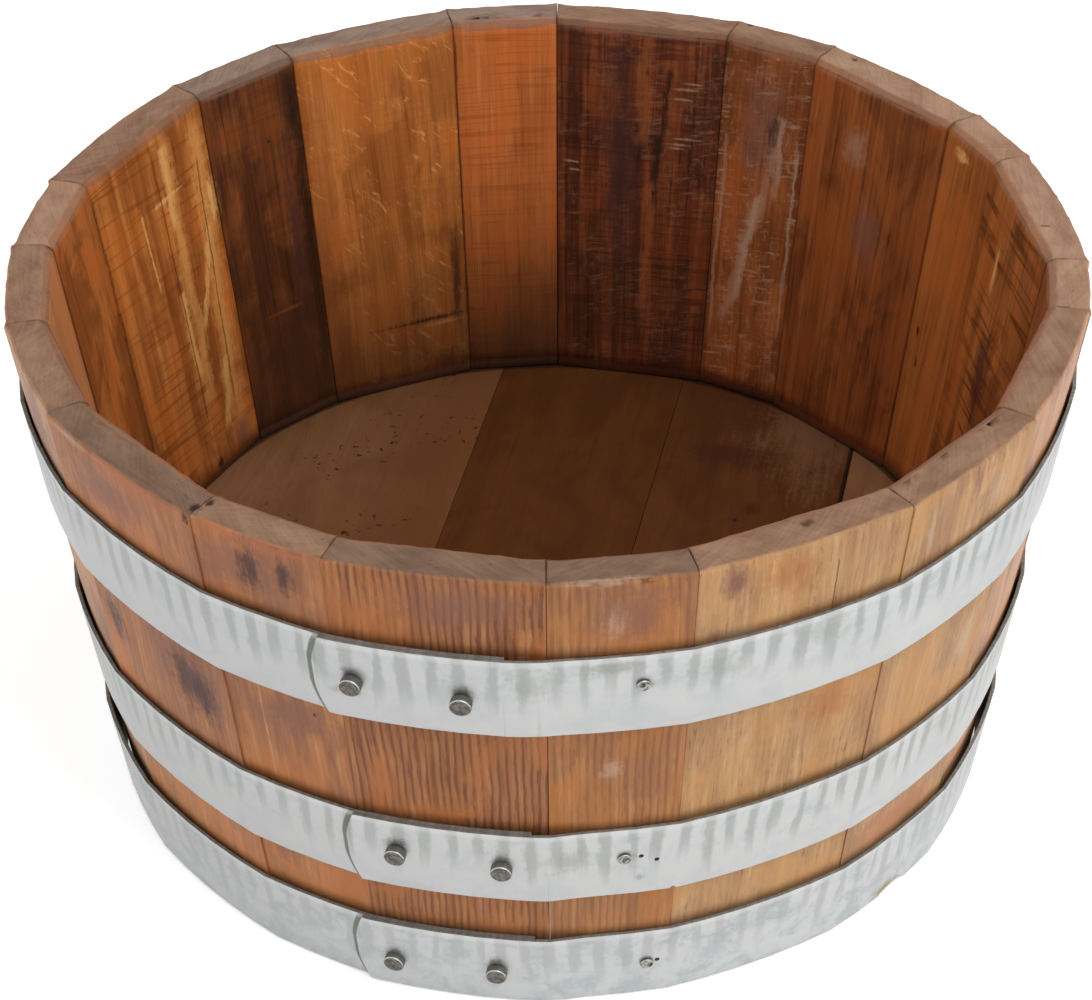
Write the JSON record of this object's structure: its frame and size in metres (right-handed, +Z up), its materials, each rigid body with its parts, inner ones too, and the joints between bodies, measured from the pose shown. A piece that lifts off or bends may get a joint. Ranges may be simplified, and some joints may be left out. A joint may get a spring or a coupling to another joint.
{
  "type": "wooden barrel planter",
  "caption": "Round half-cask planter of tapering oak staves round a boarded floor, bound by lapped and riveted steel hoops.",
  "frame": {"origin": "on the ground at the middle of the base, where the stave ends stand", "axes": "+Z up through the open rim, -Y towards the front, where the hoops' laps are, +X to the right seen from the front"},
  "size_m": [0.4592, 0.46, 0.245],
  "materials": {
    "stave_tan": "oiled",
    "stave_golden": "oiled",
    "stave_brown": "oiled",
    "stave_red": "oiled",
    "stave_dark": "oiled",
    "floor_oak": "matte",
    "dowel_wood": "matte",
    "galvanised_steel": "matte zinc",
    "dark_steel": "dull"
  },
  "bodies": {
    "root": {"stave_01": "stave_brown", "stave_02": "stave_tan", "stave_03": "stave_tan", "stave_04": "stave_tan", "stave_05": "stave_brown", "stave_06": "stave_red", "stave_07": "stave_golden", "stave_08": "stave_brown", "stave_09": "stave_brown", "stave_10": "stave_dark", "stave_11": "stave_golden", "stave_12": "stave_golden", "stave_13": "stave_dark", "stave_14": "stave_golden", "stave_15": "stave_red", "stave_16": "stave_red", "stave_17": "stave_brown", "stave_18": "stave_tan", "stave_19": "stave_red", "stave_20": "stave_brown", "floor_board_1": "floor_oak", "floor_board_2": "floor_oak", "floor_board_3": "floor_oak", "floor_board_4": "floor_oak", "floor_dowel_1": "dowel_wood", "floor_dowel_2": "dowel_wood", "floor_dowel_3": "dowel_wood", "floor_dowel_4": "dowel_wood", "floor_dowel_5": "dowel_wood", "floor_dowel_6": "dowel_wood", "bilge_hoop": "galvanised_steel", "bilge_hoop_rivet_1": "dark_steel", "bilge_hoop_rivet_2": "dark_steel", "bilge_hoop_nail_1": "dark_steel", "bilge_hoop_nail_2": "dark_steel", "bilge_hoop_nail_3": "dark_steel", "quarter_hoop": "galvanised_steel", "quarter_hoop_rivet_1": "dark_steel", "quarter_hoop_rivet_2": "dark_steel", "quarter_hoop_nail_1": "dark_steel", "quarter_hoop_nail_2": "dark_steel", "quarter_hoop_nail_3": "dark_steel", "head_hoop": "galvanised_steel", "head_hoop_rivet_1": "dark_steel", "head_hoop_rivet_2": "dark_steel", "head_hoop_nail_1": "dark_steel", "head_hoop_nail_2": "dark_steel", "head_hoop_nail_3": "dark_steel"}
  },
  "joints": []
}
